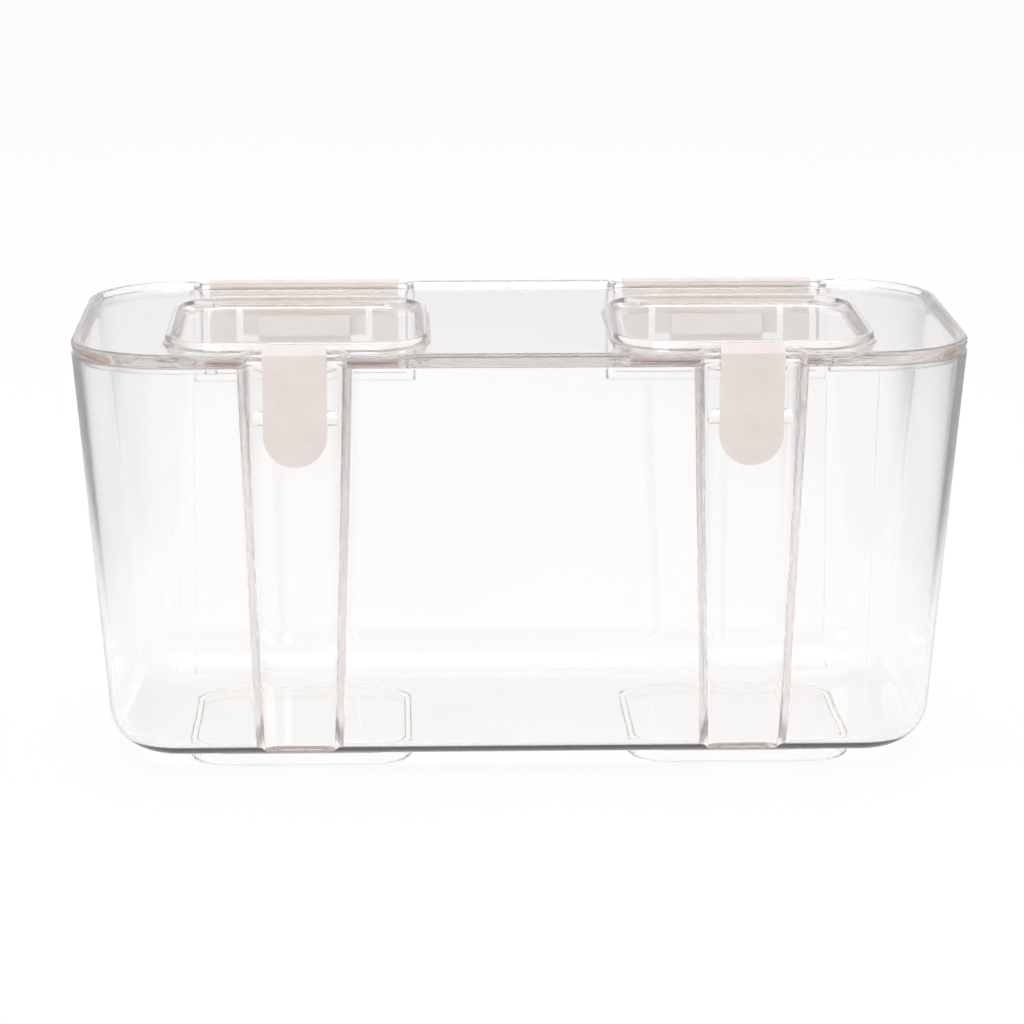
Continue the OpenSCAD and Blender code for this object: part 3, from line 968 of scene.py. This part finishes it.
def make_world():
    """Soft studio light: white behind the organizer, greyer in front, where the camera stands."""
    world = bpy.data.worlds.new("studio")
    bpy.context.scene.world = world
    world.use_nodes = True
    nodes, links = world.node_tree.nodes, world.node_tree.links
    nodes.clear()
    place = nodes.new("ShaderNodeTexCoord")
    split = nodes.new("ShaderNodeSeparateXYZ")
    links.new(place.outputs["Generated"], split.inputs["Vector"])
    sky = nodes.new("ShaderNodeMapRange")
    sky.interpolation_type = "SMOOTHSTEP"
    sky.inputs["From Min"].default_value = -0.9
    sky.inputs["From Max"].default_value = 0.1
    sky.inputs["To Min"].default_value = SKY_FRONT
    sky.inputs["To Max"].default_value = 1.0
    links.new(split.outputs["Y"], sky.inputs["Value"])
    light = nodes.new("ShaderNodeBackground")
    links.new(sky.outputs["Result"], light.inputs["Strength"])
    white = nodes.new("ShaderNodeBackground")
    white.inputs["Color"].default_value = (1, 1, 1, 1)
    rays = nodes.new("ShaderNodeLightPath")
    mix = nodes.new("ShaderNodeMixShader")
    links.new(rays.outputs["Is Camera Ray"], mix.inputs["Fac"])
    links.new(light.outputs["Background"], mix.inputs[1])
    links.new(white.outputs["Background"], mix.inputs[2])
    out = nodes.new("ShaderNodeOutputWorld")
    links.new(mix.outputs["Shader"], out.inputs["Surface"])


def make_lamp(name, place, target, size, power):
    """An area lamp turned to target, with lengths in metres and power in watts."""
    data = bpy.data.lights.new(name, "AREA")
    data.shape = "RECTANGLE"
    data.size, data.size_y = size
    data.energy = power
    lamp = bpy.data.objects.new(name, data)
    lamp.location = Vector(place)
    lamp.rotation_mode = "QUATERNION"
    lamp.rotation_quaternion = (Vector(target) - Vector(place)).to_track_quat("-Z", "Y")
    bpy.context.scene.collection.objects.link(lamp)


def make_camera():
    """The photograph's view: a long lens in front, a little to the left, looking slightly down."""
    data = bpy.data.cameras.new("camera")
    data.sensor_width = 36.0
    data.lens = LENS
    camera = bpy.data.objects.new("camera", data)
    camera.location = Vector(CAMERA_AT) * MM
    camera.rotation_euler = (Matrix.Rotation(math.radians(-CAMERA_ACROSS), 3, "Z")
                             @ Matrix.Rotation(math.radians(90 - CAMERA_DOWN), 3, "X")
                             @ Matrix.Rotation(math.radians(-CAMERA_ROLL), 3, "Z")).to_euler()
    bpy.context.scene.collection.objects.link(camera)
    bpy.context.scene.camera = camera


# A ray passes many clear walls before it leaves the organizer
cycles = bpy.context.scene.cycles
cycles.max_bounces = 48
cycles.transmission_bounces = 48
cycles.glossy_bounces = 24
cycles.transparent_max_bounces = 24

make_camera()
make_world()
make_floor()
make_lamp("overhead", (0.1, 0.1, 1.4), (0, 0, 0.05), (1.2, 0.8), 7)
make_lamp("front", (-0.7, -1.5, 0.8), (0, 0, 0.06), (0.9, 0.9), 9)

clear = clear_plastic()
tub_clear = clear_plastic("tub_plastic", paint_base_shade=True)
latch_skin = frosted_plastic("latch_plastic", *LATCH_COLOURS, LATCH_TRANSLUCENCY)
hinge_skin = frosted_plastic("hinge_plastic", *HINGE_COLOURS, HINGE_TRANSLUCENCY)

pieces = [
    (make_tub(), "tub", "tub", "clear_plastic", tub_clear),
    (make_lid(), "lid", "lid", "clear_plastic", clear),
    (make_latch(-1, "latch_left_clip"), "latch_left", "latch_left", "latch_plastic", latch_skin),
    (make_latch(1, "latch_right_clip"), "latch_right", "latch_right", "latch_plastic", latch_skin),
    (make_hinge(-1, "hinge_left_clip"), "tub", "hinge_left", "hinge_plastic", hinge_skin),
    (make_hinge(1, "hinge_right_clip"), "tub", "hinge_right", "hinge_plastic", hinge_skin),
]
for piece, body, node, slot, material in pieces:
    paint(piece, material)
    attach(piece, body)
    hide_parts(node)

bpy.context.scene.view_settings.view_transform = "Standard"
